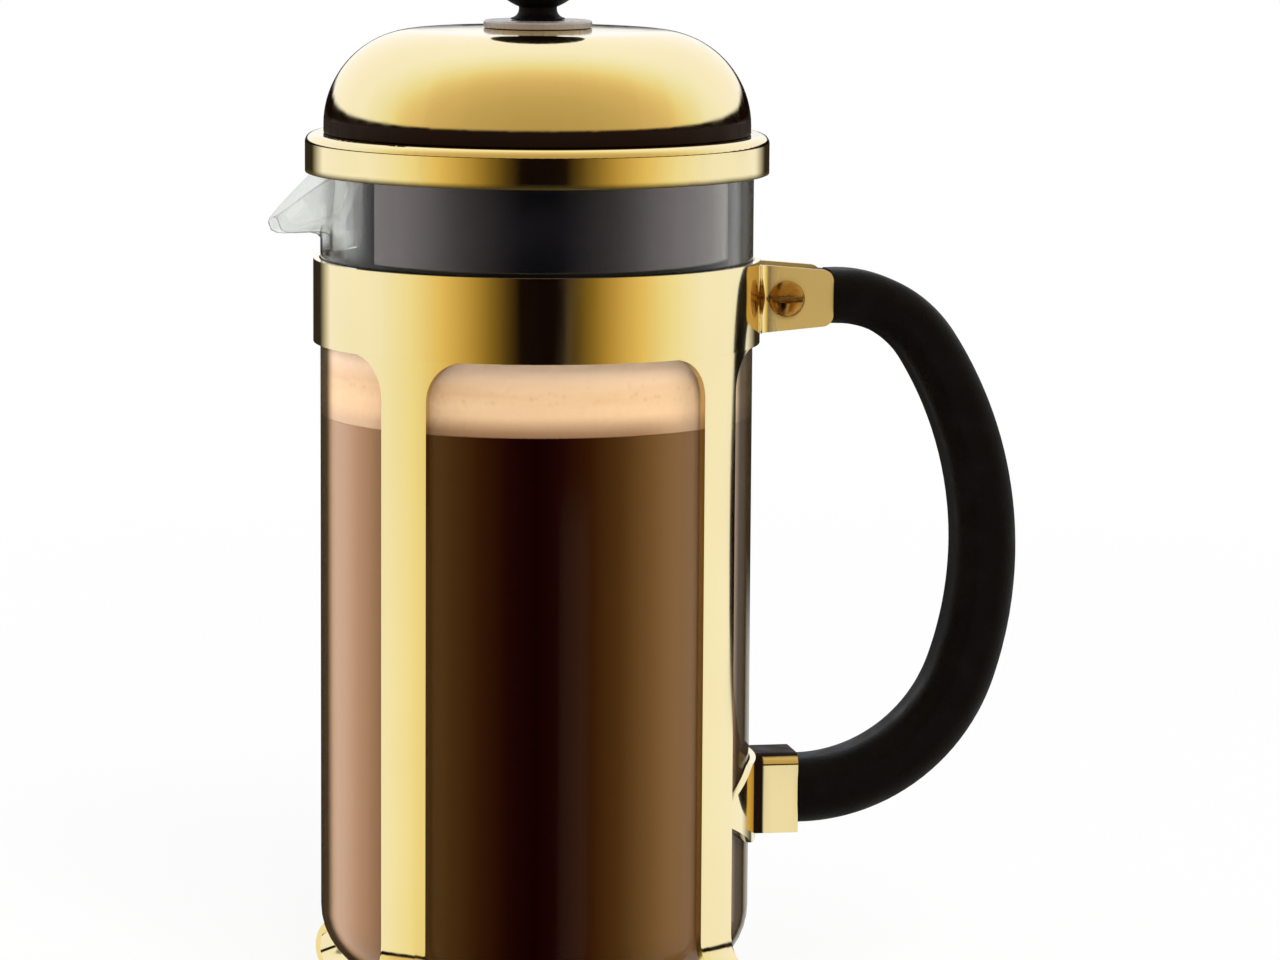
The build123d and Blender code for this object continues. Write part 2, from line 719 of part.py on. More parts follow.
# Rod, with a collar that bears on the spiral plate
rod_low_z = cross_low_z - hub_length
with BuildPart() as plunger_rod:
    with BuildSketch(Plane.XY.offset(rod_low_z)):
        Circle(rod_r)
    extrude(amount=insert_top_z - rod_low_z)
    with BuildSketch(Plane.XY.offset(spiral_top_z + seat_gap)):
        Circle(collar_r)
    extrude(amount=collar_height)
save(plunger_rod, "plunger_rod")

# Filter stack: cross plate, mesh, perforated plate and the spring round its edge
opening_outer_r = cross_plate_r - cross_rim
opening_inner_r = hub_r + cross_rim
with BuildPart() as cross_plate:
    with BuildSketch(Plane.XY.offset(cross_low_z)):
        Circle(cross_plate_r)
        Circle(hub_r + fit_gap, mode=Mode.SUBTRACT)
    extrude(amount=cross_plate_sheet)
    with BuildSketch(Plane.XY.offset(cross_low_z)):
        Circle(opening_outer_r)
        Circle(opening_inner_r, mode=Mode.SUBTRACT)
        Rectangle(2 * cross_plate_r, cross_arm_width, mode=Mode.SUBTRACT)
        Rectangle(cross_arm_width, 2 * cross_plate_r, mode=Mode.SUBTRACT)
    extrude(amount=cross_plate_sheet, mode=Mode.SUBTRACT)
save(cross_plate, "cross_plate")

with BuildPart() as filter_hub:
    with BuildSketch(Plane.XY.offset(rod_low_z)):
        Circle(hub_r)
        Circle(rod_r + running_gap, mode=Mode.SUBTRACT)
    extrude(amount=hub_length + cross_plate_sheet)
save(filter_hub, "filter_hub")

with BuildPart() as mesh_filter:
    with BuildSketch(Plane.XY.offset(mesh_low_z)):
        Circle(mesh_r)
        Circle(rod_r + running_gap, mode=Mode.SUBTRACT)
    extrude(amount=mesh_sheet)
    with BuildSketch(Plane.XY.offset(mesh_low_z)):
        Circle(mesh_r)
        Circle(mesh_r - mesh_sheet, mode=Mode.SUBTRACT)
    extrude(amount=mesh_lip_height)
save(mesh_filter, "mesh_filter")

hole_last_ring_r = spiral_r - hole_edge - hole_r
hole_ring_step = (hole_last_ring_r - hole_first_ring_r) / (hole_ring_count - 1)
with BuildPart() as spiral_plate:
    with BuildSketch(Plane.XY.offset(spiral_low_z)):
        Circle(spiral_r)
        Circle(rod_r + running_gap, mode=Mode.SUBTRACT)
        for ring in range(hole_ring_count):
            ring_r = hole_first_ring_r + ring * hole_ring_step
            with PolarLocations(ring_r, round(2 * pi * ring_r / hole_spacing)):
                Circle(hole_r, mode=Mode.SUBTRACT)
    extrude(amount=spiral_sheet)
save(spiral_plate, "spiral_plate")

with BuildPart() as filter_spring:
    with BuildSketch(Plane.XZ):
        with Locations((spring_mid_r, spiral_low_z + spring_wire_envelope_r)):
            Circle(spring_wire_envelope_r)
    revolve(axis=Axis.Z)
save(filter_spring, "filter_spring")
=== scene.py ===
"""French press in its studio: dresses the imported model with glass, gold plate, coffee and foam."""

import json
from math import cos, pi, radians, sin

import bpy
from mathutils import Matrix, Vector

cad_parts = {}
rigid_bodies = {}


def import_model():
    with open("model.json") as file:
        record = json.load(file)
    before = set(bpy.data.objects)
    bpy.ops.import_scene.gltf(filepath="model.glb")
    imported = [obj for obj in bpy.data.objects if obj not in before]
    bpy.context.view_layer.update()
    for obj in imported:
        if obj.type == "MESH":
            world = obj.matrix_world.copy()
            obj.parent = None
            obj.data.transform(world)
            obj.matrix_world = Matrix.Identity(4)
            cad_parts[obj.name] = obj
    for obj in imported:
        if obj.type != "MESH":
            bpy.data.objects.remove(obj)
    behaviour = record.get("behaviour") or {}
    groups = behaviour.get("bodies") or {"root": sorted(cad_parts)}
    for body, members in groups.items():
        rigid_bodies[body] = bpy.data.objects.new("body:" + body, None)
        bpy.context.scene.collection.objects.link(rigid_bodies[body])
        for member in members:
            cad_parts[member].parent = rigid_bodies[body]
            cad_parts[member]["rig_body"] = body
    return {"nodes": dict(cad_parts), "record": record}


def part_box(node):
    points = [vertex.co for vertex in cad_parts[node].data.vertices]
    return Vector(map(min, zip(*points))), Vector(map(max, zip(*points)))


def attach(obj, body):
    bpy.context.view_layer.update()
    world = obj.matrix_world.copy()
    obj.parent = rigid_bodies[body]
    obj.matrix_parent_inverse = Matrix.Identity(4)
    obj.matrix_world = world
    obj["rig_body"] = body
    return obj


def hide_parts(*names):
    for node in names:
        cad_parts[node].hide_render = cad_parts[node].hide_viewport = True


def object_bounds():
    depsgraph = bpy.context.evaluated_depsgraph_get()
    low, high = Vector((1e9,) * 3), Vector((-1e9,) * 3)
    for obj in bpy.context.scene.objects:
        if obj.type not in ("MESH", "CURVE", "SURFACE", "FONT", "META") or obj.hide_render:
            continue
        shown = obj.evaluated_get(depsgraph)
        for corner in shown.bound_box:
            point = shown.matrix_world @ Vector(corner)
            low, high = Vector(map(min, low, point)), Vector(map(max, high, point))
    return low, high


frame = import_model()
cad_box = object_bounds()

# Where the photograph was taken from, in metres and degrees
camera_distance = 1.2
camera_azimuth = -9.51
camera_height = 0.2824
camera_turn = -1.108
camera_pitch = 7.708
camera_roll = 0.38
camera_lens = 152.58
camera_sensor = 36.0
camera_near = 0.01
camera_far = 200

# Studio: turn of its dark front from the camera's own direction, and the floor
studio_turn = 2.6
floor_size = 60
floor_drop = 0.0002

# Soft lamps: angle from the camera's side, distance, height, power in watts, width
lamps = {
    "left_lamp": (-105, 1.6, 0.5, 19, 0.9),
    "right_lamp": (105, 1.6, 0.5, 12, 0.9),
    "front_lamp": (20, 2.0, 1.7, 30, 1.2),
}

# Glass
glass_low, glass_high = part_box("beaker")
beaker_r = glass_high.x
rim_z = glass_high.z
base_z = glass_low.z
glass_wall = 0.0022
glass_floor = 0.0026
glass_corner_r = 0.015
bore_r = beaker_r - glass_wall
spout_reach = -glass_low.x - beaker_r
spout_fall = 0.0118
spout_spread = 0.0165
glass_steps = 192
glass_middle_r = 0.012
glass_rows = 14
glass_rows_height = 0.026
glass_rows_below_rim = 0.0275
corner_steps = 10
rim_steps = 8

# Where the glass stands before dark things and gets a broad painted dark outline, and where it is blown
# thin at the spout
glass_filled_z = (0.168, 0.155)
glass_handle_x = (-0.01, 0.01)
glass_thin_x = (-0.040, -0.048)
glass_thin_z = (0.168, 0.174)

# Coffee and foam, which bite a little into the glass so that no air shows between
contents_bite = 0.00015
contents_steps = 128
foam_low_z = 0.1352
foam_top_z = 0.158
foam_rows = 6
foam_rings = 14
foam_lump_size = 0.006
foam_lump_height = 0.0016
foam_top_skin = 1e-4

# Where the foam turns pale on top and is painted lighter there against the band's shadow, and the heights
# of its pale border and wet foot above the coffee
foam_pale_lit_z = (0.143, 0.150)
foam_border = (0.0085, 0.0060)
foam_wet = (0.0002, 0.0046)

# Filter spring
spring_low, spring_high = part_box("filter_spring")
coil_r = (spring_high.z - spring_low.z) / 2
spring_mid_r = spring_high.x - coil_r
spring_wire_r = 0.00032
spring_turns = 150
points_a_turn = 10

# Painted shade on the gold plate: its colours, and where it starts and is full from an end of the piece
brown_painted_shade = (0.011, 0.005, 0.0025, 1)
olive_painted_shade = (0.055, 0.038, 0.006, 1)
dome_painted_shade = (0.0042, 0.0032)
rim_painted_shade = (0.0017, 0.0001)
bracket_painted_shade = (-0.0010, -0.0003)
bracket_fold_shade = (0.0024, 0.0018)
painted_shade_waver = 0.0003

# Where the band's ears turn satin, and the pitch of the woven filter's wires
ear_start_x = 0.051
ear_fade = 0.004
weave_pitch = 0.0009

# Rounded edges on the metal and plastic pieces
sheet_edge = 0.00022
plastic_edge = 0.0003
sharp_angle = radians(35)
smooth_angle = radians(60)
flat_angle = radians(0.4)
copy_weld = 2e-6
mesh_weld = 1e-6


def select_only(piece):
    """Leave one object selected and active."""
    bpy.ops.object.select_all(action="DESELECT")
    piece.select_set(True)
    bpy.context.view_layer.objects.active = piece


def apply_modifier(piece, kind, **settings):
    """Add a modifier to a piece, set it up and apply it."""
    modifier = piece.modifiers.new(kind.title(), kind)
    for name, value in settings.items():
        setattr(modifier, name, value)
    select_only(piece)
    bpy.ops.object.modifier_apply(modifier=modifier.name)


def close_mesh(piece):
    """Merge doubled points and turn every face outward."""
    select_only(piece)
    bpy.ops.object.mode_set(mode="EDIT")
    bpy.ops.mesh.select_all(action="SELECT")
    bpy.ops.mesh.remove_doubles(threshold=mesh_weld)
    bpy.ops.mesh.normals_make_consistent(inside=False)
    bpy.ops.object.mode_set(mode="OBJECT")


def rounded_copy(node, edge):
    """Copy a node's mesh, round its sharp edges and let the copy stand for the node."""
    mesh = frame["nodes"][node].data.copy()
    piece = bpy.data.objects.new(f"{node}.finished", mesh)
    bpy.context.scene.collection.objects.link(piece)
    select_only(piece)
    bpy.ops.object.mode_set(mode="EDIT")
    bpy.ops.mesh.select_all(action="SELECT")
    bpy.ops.mesh.customdata_custom_splitnormals_clear()
    bpy.ops.mesh.remove_doubles(threshold=copy_weld)
    bpy.ops.mesh.dissolve_limited(angle_limit=flat_angle)
    bpy.ops.object.mode_set(mode="OBJECT")
    apply_modifier(
        piece, "BEVEL", width=edge, segments=2, limit_method="ANGLE", angle_limit=sharp_angle,
        miter_outer="MITER_ARC", use_clamp_overlap=True,
    )
    select_only(piece)
    bpy.ops.object.shade_smooth_by_angle(angle=smooth_angle)
    apply_modifier(piece, "WEIGHTED_NORMAL", weight=90, keep_sharp=True)
    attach(piece, frame["nodes"][node]["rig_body"])
    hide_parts(node)
    return piece


def turned_piece(name, outline, steps):
    """Draw an outline of (radius, height) points with a moving vertex and spin it round the axis."""
    bpy.ops.object.select_all(action="DESELECT")
    bpy.ops.mesh.primitive_plane_add(size=0.001, location=(0, 0, 0))
    piece = bpy.context.object
    piece.name = name
    bpy.ops.object.mode_set(mode="EDIT")
    bpy.ops.mesh.select_all(action="SELECT")
    bpy.ops.mesh.merge(type="CENTER")
    place = Vector((0, 0, 0))
    for number, (radius, height) in enumerate(outline):
        target = Vector((radius, 0, height))
        if number == 0:
            bpy.ops.transform.translate(value=target)
        else:
            bpy.ops.mesh.extrude_region_move(TRANSFORM_OT_translate={"value": target - place})
        place = target
    bpy.ops.mesh.select_all(action="SELECT")
    bpy.ops.mesh.spin(steps=steps, angle=2 * pi, center=(0, 0, 0), axis=(0, 0, 1))
    bpy.ops.object.mode_set(mode="OBJECT")
    close_mesh(piece)
    return piece


def arc_points(centre, radius, start, end, count):
    """Points on an arc in the plane of radius and height, from one angle to another in degrees."""
    angles = [radians(start + (end - start) * i / count) for i in range(count + 1)]
    return [(centre[0] + radius * cos(a), centre[1] + radius * sin(a)) for a in angles]


def glass_outline():
    """Half section of the beaker's wall: underside, outside, fire polished rim, inside."""
    corner_in_r = glass_corner_r - glass_wall
    rim_round = glass_wall / 2
    floor_z = base_z + glass_floor
    row_step = glass_rows_height / glass_rows
    heights = [rim_z - glass_rows_below_rim + row * row_step for row in range(glass_rows)]
    corner = (beaker_r - glass_corner_r, base_z + glass_corner_r)
    corner_in = (bore_r - corner_in_r, floor_z + corner_in_r)
    outline = [(0, base_z), (glass_middle_r, base_z)]
    outline += arc_points(corner, glass_corner_r, -90, 0, corner_steps)
    outline += [(beaker_r, height) for height in heights]
    outline += arc_points((beaker_r - rim_round, rim_z - rim_round), rim_round, 0, 180, rim_steps)
    outline += [(bore_r, height) for height in reversed(heights)]
    outline += arc_points(corner_in, corner_in_r, 0, -90, corner_steps)
    outline += [(glass_middle_r, floor_z), (0, floor_z)]
    return outline


def make_beaker():
    """Blow the glass as a plain beaker, then pull its spout out of the rim."""
    piece = turned_piece("beaker_glass", glass_outline(), glass_steps)
    for point in piece.data.vertices:
        at_rim = point.co.z > rim_z - glass_wall
        on_spout_side = point.co.x < 0 and abs(point.co.y) < beaker_r * sin(pi / glass_steps)
        point.select = at_rim and on_spout_side
    for polygon in piece.data.polygons:
        polygon.select = False
    for edge in piece.data.edges:
        edge.select = False
    select_only(piece)
    bpy.ops.object.mode_set(mode="EDIT")
    bpy.ops.transform.translate(
        value=(-spout_reach, 0, -spout_fall),
        use_proportional_edit=True,
        proportional_edit_falloff="SMOOTH",
        proportional_size=spout_spread,
    )
    bpy.ops.object.mode_set(mode="OBJECT")
    select_only(piece)
    bpy.ops.object.shade_smooth()
    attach(piece, "beaker")
    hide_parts("beaker")
    return piece


def make_coffee():
    """Fill the glass with coffee up to the foam."""
    r = bore_r + contents_bite
    corner_r = glass_corner_r - glass_wall
    low = base_z + glass_floor - contents_bite
    outline = [(0, low)]
    outline += arc_points((r - corner_r, low + corner_r), corner_r, -90, 0, corner_steps)
    outline += [(r, foam_low_z), (0, foam_low_z)]
    piece = turned_piece("coffee", outline, contents_steps)
    select_only(piece)
    bpy.ops.object.shade_smooth_by_angle(angle=sharp_angle)
    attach(piece, "beaker")
    return piece


def make_foam():
    """Lay a head of foam on the coffee, uneven on top."""
    r = bore_r + contents_bite
    depth = foam_top_z - foam_low_z
    outline = [(0, foam_low_z - contents_bite), (r, foam_low_z - contents_bite)]
    outline += [(r, foam_low_z + depth * i / foam_rows) for i in range(1, foam_rows + 1)]
    outline += [(r * (1 - i / foam_rings), foam_top_z) for i in range(1, foam_rings + 1)]
    piece = turned_piece("foam", outline, contents_steps)
    top = piece.vertex_groups.new(name="top")
    top.add([v.index for v in piece.data.vertices if v.co.z > foam_top_z - foam_top_skin], 1.0, "ADD")
    lumps = bpy.data.textures.new("foam_lumps", "CLOUDS")
    lumps.noise_scale = foam_lump_size
    apply_modifier(
        piece, "DISPLACE", texture=lumps, texture_coords="LOCAL", vertex_group="top",
        direction="Z", strength=foam_lump_height, mid_level=1.0,
    )
    select_only(piece)
    bpy.ops.object.shade_smooth_by_angle(angle=sharp_angle)
    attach(piece, "beaker")
    return piece


def make_filter_spring():
    """Wind the close coil of fine wire that runs round the filter plate."""
    middle_z = (spring_low.z + spring_high.z) / 2
    wind_r = coil_r - spring_wire_r
    curve = bpy.data.curves.new("filter_spring_coil", "CURVE")
    curve.dimensions = "3D"
    curve.bevel_depth = spring_wire_r
    curve.bevel_resolution = 1
    count = spring_turns * points_a_turn
    line = curve.splines.new("POLY")
    line.points.add(count - 1)
    for i, point in enumerate(line.points):
        round_axis = 2 * pi * i / count
        round_wire = 2 * pi * i / points_a_turn
        radius = spring_mid_r + wind_r * cos(round_wire)
        height = middle_z + wind_r * sin(round_wire)
        point.co = (radius * cos(round_axis), radius * sin(round_axis), height, 1)
    line.use_cyclic_u = True
    piece = bpy.data.objects.new("filter_spring_coil", curve)
    bpy.context.scene.collection.objects.link(piece)
    select_only(piece)
    bpy.ops.object.convert(target="MESH")
    piece = bpy.context.object
    bpy.ops.object.shade_smooth()
    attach(piece, "filter")
    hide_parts("filter_spring")
    return piece


class Wire:
    """A socket in a node tree. Sums on wires add Math nodes, and node() adds any other node."""

    def __init__(self, tree, socket=None):
        self.tree = tree
        self.socket = socket

    def node(self, kind, settings=None, sockets=None, out=0):
        """Add a node, set it up, then fill or link its sockets."""
        made = self.tree.nodes.new(kind)
        for name, value in (settings or {}).items():
            if name == "stops":
                stops = made.color_ramp.elements
                while len(stops) < len(value):
                    stops.new(1.0)
                for stop, (place, colour) in zip(stops, value):
                    stop.position = place
                    stop.color = (*colour, 1.0)
            else:
                setattr(made, name, value)
        for name, value in (sockets or {}).items():
            if isinstance(value, Wire):
                self.tree.links.new(value.socket, made.inputs[name])
            else:
                made.inputs[name].default_value = value
        return Wire(self.tree, made.outputs[out]) if made.outputs else None

    def maths(self, operation, first, second):
        return self.node("ShaderNodeMath", {"operation": operation}, {0: first, 1: second})

    def __add__(self, other):
        return self.maths("ADD", self, other)

    def __sub__(self, other):
        return self.maths("SUBTRACT", self, other)

    def __rsub__(self, other):
        return self.maths("SUBTRACT", other, self)

    def __mul__(self, other):
        return self.maths("MULTIPLY", self, other)

    def __truediv__(self, other):
        return self.maths("DIVIDE", self, other)

    def __pow__(self, other):
        return self.maths("POWER", self, other)

    def __abs__(self):
        return self.maths("ABSOLUTE", self, 0.0)

    def larger(self, other):
        return self.maths("MAXIMUM", self, other)

    def sine(self):
        return self.maths("SINE", self, 0.0)

    def rise(self, start, end, low=0.0, high=1.0):
        """Go smoothly from low to high while this value goes from start to end."""
        return self.node(
            "ShaderNodeMapRange",
            {"interpolation_type": "SMOOTHSTEP"},
            {"Value": self, "From Min": start, "From Max": end, "To Min": low, "To Max": high},
        )

    def blend(self, first, second):
        """Mix two colours by this value."""
        sockets = {0: self, 6: first, 7: second}
        return self.node("ShaderNodeMix", {"data_type": "RGBA"}, sockets, out=2)

    def parts(self):
        """Split a vector into its three numbers."""
        split = self.node("ShaderNodeSeparateXYZ", None, {0: self})
        outputs = split.socket.node.outputs
        return [Wire(self.tree, socket) for socket in outputs]

    def ramp(self, stops):
        """Turn this value into a colour by a ramp of (place, colour) stops."""
        return self.node("ShaderNodeValToRGB", {"stops": stops}, {0: self})

    def noise(self, scale, detail=3.0, stretch=(1, 1, 1)):
        """Noise on these coordinates, stretched along an axis if asked."""
        where = self
        if stretch != (1, 1, 1):
            where = self.node("ShaderNodeMapping", None, {"Vector": self, "Scale": stretch})
        return self.node("ShaderNodeTexNoise", None, {"Vector": where, "Scale": scale, "Detail": detail})

    def cells(self, scale):
        """Distance to the nearest of scattered points on these coordinates."""
        return self.node("ShaderNodeTexVoronoi", None, {"Vector": self, "Scale": scale})

    def light_path(self, output):
        """How the ray came here, as one output of a Light Path node."""
        return self.node("ShaderNodeLightPath", None, None, out=output)

    def bump(self, strength, distance):
        """Bump from this height, for a shader's Normal socket."""
        return self.node(
            "ShaderNodeBump", None, {"Height": self, "Strength": strength, "Distance": distance}
        )


def new_finish(name):
    """Start a material: the material, a wire to add nodes from and its object coordinates."""
    material = bpy.data.materials.new(name)
    material.use_nodes = True
    material.node_tree.nodes.clear()
    start = Wire(material.node_tree)
    place = start.node("ShaderNodeTexCoord", None, None, out="Object")
    return material, start, place


def show(start, shader):
    """Link the finished shader to the material's output."""
    start.node("ShaderNodeOutputMaterial", None, {"Surface": shader})


def put_on(piece, material):
    """Give a piece one material."""
    piece.data.materials.clear()
    piece.data.materials.append(material)


def along(start, offsets):
    """Places at offsets from a start."""
    return tuple(start + offset for offset in offsets)


def side_light_share(x, y):
    """How far a place lies from the upright plane of the coffee's painted dark middle, as a share of the
    bore: the measure for painted side light.
    """
    turn = radians(camera_azimuth)
    return abs(x * cos(turn) + y * sin(turn)) / bore_r


def gold_plate_finish(
    name="gold_plate", shade_span=None, shade_colour=brown_painted_shade, fold_shade=None, ear_x=None
):
    """Polished gold plate; with painted shade towards a height, painted shade in a fold or satin on its
    ears if given.
    """
    material, start, place = new_finish(name)
    x, _, z = place.parts()
    drift = place.noise(14.0, 2.0)
    polish = place.noise(260.0, 4.0, stretch=(1, 1, 0.12))
    scratch = place.noise(900.0, 2.0, stretch=(0.08, 0.08, 1))
    colour = drift.rise(0.35, 0.65).blend((0.925, 0.785, 0.465, 1), (0.90, 0.755, 0.435, 1))
    roughness = polish.rise(0.3, 0.7, 0.06, 0.11)
    metallic = 1.0
    # Painted shade: a dark plate mixed in towards one end of the piece and in a fold
    painted_shade_mask = None
    if shade_span is not None:
        painted_shade_mask = (z + polish * painted_shade_waver).rise(*shade_span)
    if fold_shade is not None:
        painted_shade_mask = painted_shade_mask.larger((x + polish * painted_shade_waver).rise(*fold_shade))
    if ear_x is not None:
        ear = (x + drift * 0.002).rise(ear_x, ear_x + ear_fade)
        colour = ear.blend(colour, (0.80, 0.57, 0.20, 1))
        metallic = 1.0 - ear * 0.45
        roughness = roughness + ear * 0.22
    dents = polish * 0.7 + scratch * 0.3
    plate = start.node("ShaderNodeBsdfPrincipled", None, {
        "Base Color": colour,
        "Metallic": metallic,
        "Roughness": roughness,
        "Normal": dents.bump(0.03, 0.0002),
    })
    if painted_shade_mask is not None:
        painted_dark = start.node("ShaderNodeBsdfPrincipled", None, {
            "Base Color": shade_colour,
            "Roughness": polish.rise(0.3, 0.7, 0.45, 0.6),
            "Specular IOR Level": 0.05,
        })
        plate = start.node("ShaderNodeMixShader", None, {0: painted_shade_mask, 1: plate, 2: painted_dark})
    show(start, plate)
    return material


def painted_dark_gold_finish():
    """Gold plate on the clamp screw, painted dark brown for the dark reflection in its domed head."""
    material, start, place = new_finish("painted_dark_gold")
    painted_dark = place.noise(380.0, 3.0)
    # Painted dark reflection: the head's brown colour
    colour = painted_dark.rise(0.35, 0.65).blend((0.33, 0.165, 0.042, 1), (0.46, 0.26, 0.08, 1))
    show(start, start.node("ShaderNodeBsdfPrincipled", None, {
        "Base Color": colour,
        "Metallic": 1.0,
        "Roughness": painted_dark.rise(0.3, 0.7, 0.16, 0.28),
        "Normal": painted_dark.bump(0.04, 0.0001),
    }))
    return material


def glass_finish():
    """Clear borosilicate glass with painted dark edge shade where it is seen edge on, thin at the spout,
    with faint smears.
    """
    material, start, place = new_finish("borosilicate")
    smear = place.noise(45.0, 3.0)
    x, _, z = place.parts()
    edge = start.node("ShaderNodeLayerWeight", None, {"Blend": 0.5}, out="Facing")
    handle_side = x.rise(*glass_handle_x)
    filled = z.rise(*glass_filled_z).larger(handle_side)
    # Painted shade: a dark brown sheet mixed in at the glass's edges, broad where the coffee and the handle
    # stand behind
    thin_line = edge.rise(0.80, 0.94, 0.0, 0.9)
    broad_line = (edge + handle_side * 0.08).rise(0.66, 0.77, 0.0, 0.9)
    outline = filled * broad_line + (1.0 - filled) * thin_line
    unseen = start.light_path("Is Shadow Ray").larger(start.light_path("Is Diffuse Ray"))
    clear = start.node("ShaderNodeBsdfPrincipled", None, {
        "Base Color": (0.97, 0.985, 0.98, 1),
        "Roughness": smear.rise(0.55, 0.8, 0.0, 0.01),
        "IOR": 1.47,
        "Specular Tint": (0.16, 0.16, 0.16, 1),
        "Transmission Weight": 1.0,
    })
    dark = start.node("ShaderNodeBsdfPrincipled", None, {
        "Base Color": (0.017, 0.012, 0.0045, 1),
        "Roughness": 0.05,
        "IOR": 1.47,
        "Specular IOR Level": 0.02,
    })
    open_air = start.node("ShaderNodeBsdfTransparent", None, {"Color": (0.95, 0.96, 0.95, 1)})
    blown_thin = x.rise(*glass_thin_x) * z.rise(*glass_thin_z) * 0.85
    body = start.node("ShaderNodeMixShader", None, {0: blown_thin, 1: clear, 2: open_air})
    glass = start.node("ShaderNodeMixShader", None, {0: outline, 1: body, 2: dark})
    lit = start.node("ShaderNodeMixShader", None, {0: unseen, 1: glass, 2: open_air})
    show(start, lit)
    return material


def black_handle_finish():
    """Black moulded plastic with a fine grain, a little worn to grey."""
    material, start, place = new_finish("black_handle")
    grain = place.cells(1500.0)
    wear = place.noise(120.0, 4.0)
    colour = wear.rise(0.45, 0.75).blend((0.0026, 0.0020, 0.0023, 1), (0.0042, 0.0034, 0.0038, 1))
    show(start, start.node("ShaderNodeBsdfPrincipled", None, {
        "Base Color": colour,
        "Roughness": wear.rise(0.3, 0.7, 0.42, 0.58),
        "Specular IOR Level": 0.09,
        "Normal": (grain + wear * 0.5).bump(0.25, 0.0002),
    }))
    return material


def black_liner_finish():
    """Glossy black moulded plastic."""
    material, start, place = new_finish("black_liner")
    flow = place.noise(60.0, 3.0)
    colour = flow.rise(0.4, 0.7).blend((0.006, 0.0055, 0.007, 1), (0.009, 0.008, 0.010, 1))
    show(start, start.node("ShaderNodeBsdfPrincipled", None, {
        "Base Color": colour,
        "Roughness": flow.rise(0.3, 0.7, 0.06, 0.10),
        "IOR": 1.75,
        "Specular IOR Level": 0.9,
        "Normal": flow.bump(0.01, 0.0003),
    }))
    return material


def steel_finish(
    name="steel", bright=(0.64, 0.63, 0.61, 1), dull=(0.56, 0.55, 0.53, 1), metallic=1.0
):
    """Stainless steel with a satin grain, or grey with use where it is less metallic."""
    material, start, place = new_finish(name)
    grain = place.noise(700.0, 3.0, stretch=(1, 1, 0.06))
    spots = place.noise(90.0, 2.0)
    colour = spots.rise(0.35, 0.7).blend(bright, dull)
    show(start, start.node("ShaderNodeBsdfPrincipled", None, {
        "Base Color": colour,
        "Metallic": metallic,
        "Roughness": grain.rise(0.25, 0.75, 0.2, 0.36),
        "Normal": grain.bump(0.08 * metallic ** 2, 0.0001),
    }))
    return material


def woven_steel_finish():
    """Fine woven steel mesh: two sets of wires that pass over and under."""
    material, start, place = new_finish("woven_steel")
    x, y, _ = place.parts()
    warp = abs((x * (pi / weave_pitch)).sine())
    weft = abs((y * (pi / weave_pitch)).sine())
    height = warp.larger(weft)
    colour = height.rise(0.35, 0.8).blend((0.05, 0.048, 0.045, 1), (0.62, 0.61, 0.59, 1))
    show(start, start.node("ShaderNodeBsdfPrincipled", None, {
        "Base Color": colour,
        "Metallic": 1.0,
        "Roughness": height.rise(0.2, 1.0, 0.55, 0.25),
        "Normal": height.bump(0.6, 0.0003),
    }))
    return material


def brass_insert_finish():
    """Machined brass, with the fine rings that a lathe leaves."""
    material, start, place = new_finish("brass_insert")
    rings = place.noise(1200.0, 2.0, stretch=(0.1, 0.1, 1))
    colour = rings.rise(0.3, 0.7).blend((0.66, 0.48, 0.2, 1), (0.56, 0.4, 0.16, 1))
    show(start, start.node("ShaderNodeBsdfPrincipled", None, {
        "Base Color": colour,
        "Metallic": 1.0,
        "Roughness": rings.rise(0.3, 0.7, 0.2, 0.34),
        "Normal": rings.bump(0.1, 0.0001),
    }))
    return material


def coffee_finish():
    """Black coffee, painted with side light: brown towards the handle and spout sides of the glass, black
    in the middle that no lamp lights.
    """
    material, start, place = new_finish("coffee")
    x, y, _ = place.parts()
    streaks = place.noise(40.0, 2.0, stretch=(1, 1, 0.05))
    # Painted side light and shade: brown towards the sides, black in the middle
    colour = (side_light_share(x, y) + streaks * 0.03 - 0.015).ramp([
        (0.0, (0.007, 0.0004, 0.0003)),
        (0.117, (0.0125, 0.0017, 0.0008)),
        (0.257, (0.031, 0.0075, 0.0015)),
        (0.397, (0.066, 0.025, 0.005)),
        (0.537, (0.14, 0.065, 0.018)),
        (0.678, (0.23, 0.115, 0.042)),
        (0.82, (0.38, 0.20, 0.10)),
        (0.89, (0.48, 0.27, 0.158)),
        (1.0, (0.45, 0.26, 0.15)),
    ])
    show(start, start.node("ShaderNodeBsdfPrincipled", None, {
        "Base Color": colour,
        "Roughness": 0.3,
        "IOR": 1.33,
        "Specular IOR Level": 0.0,
    }))
    return material


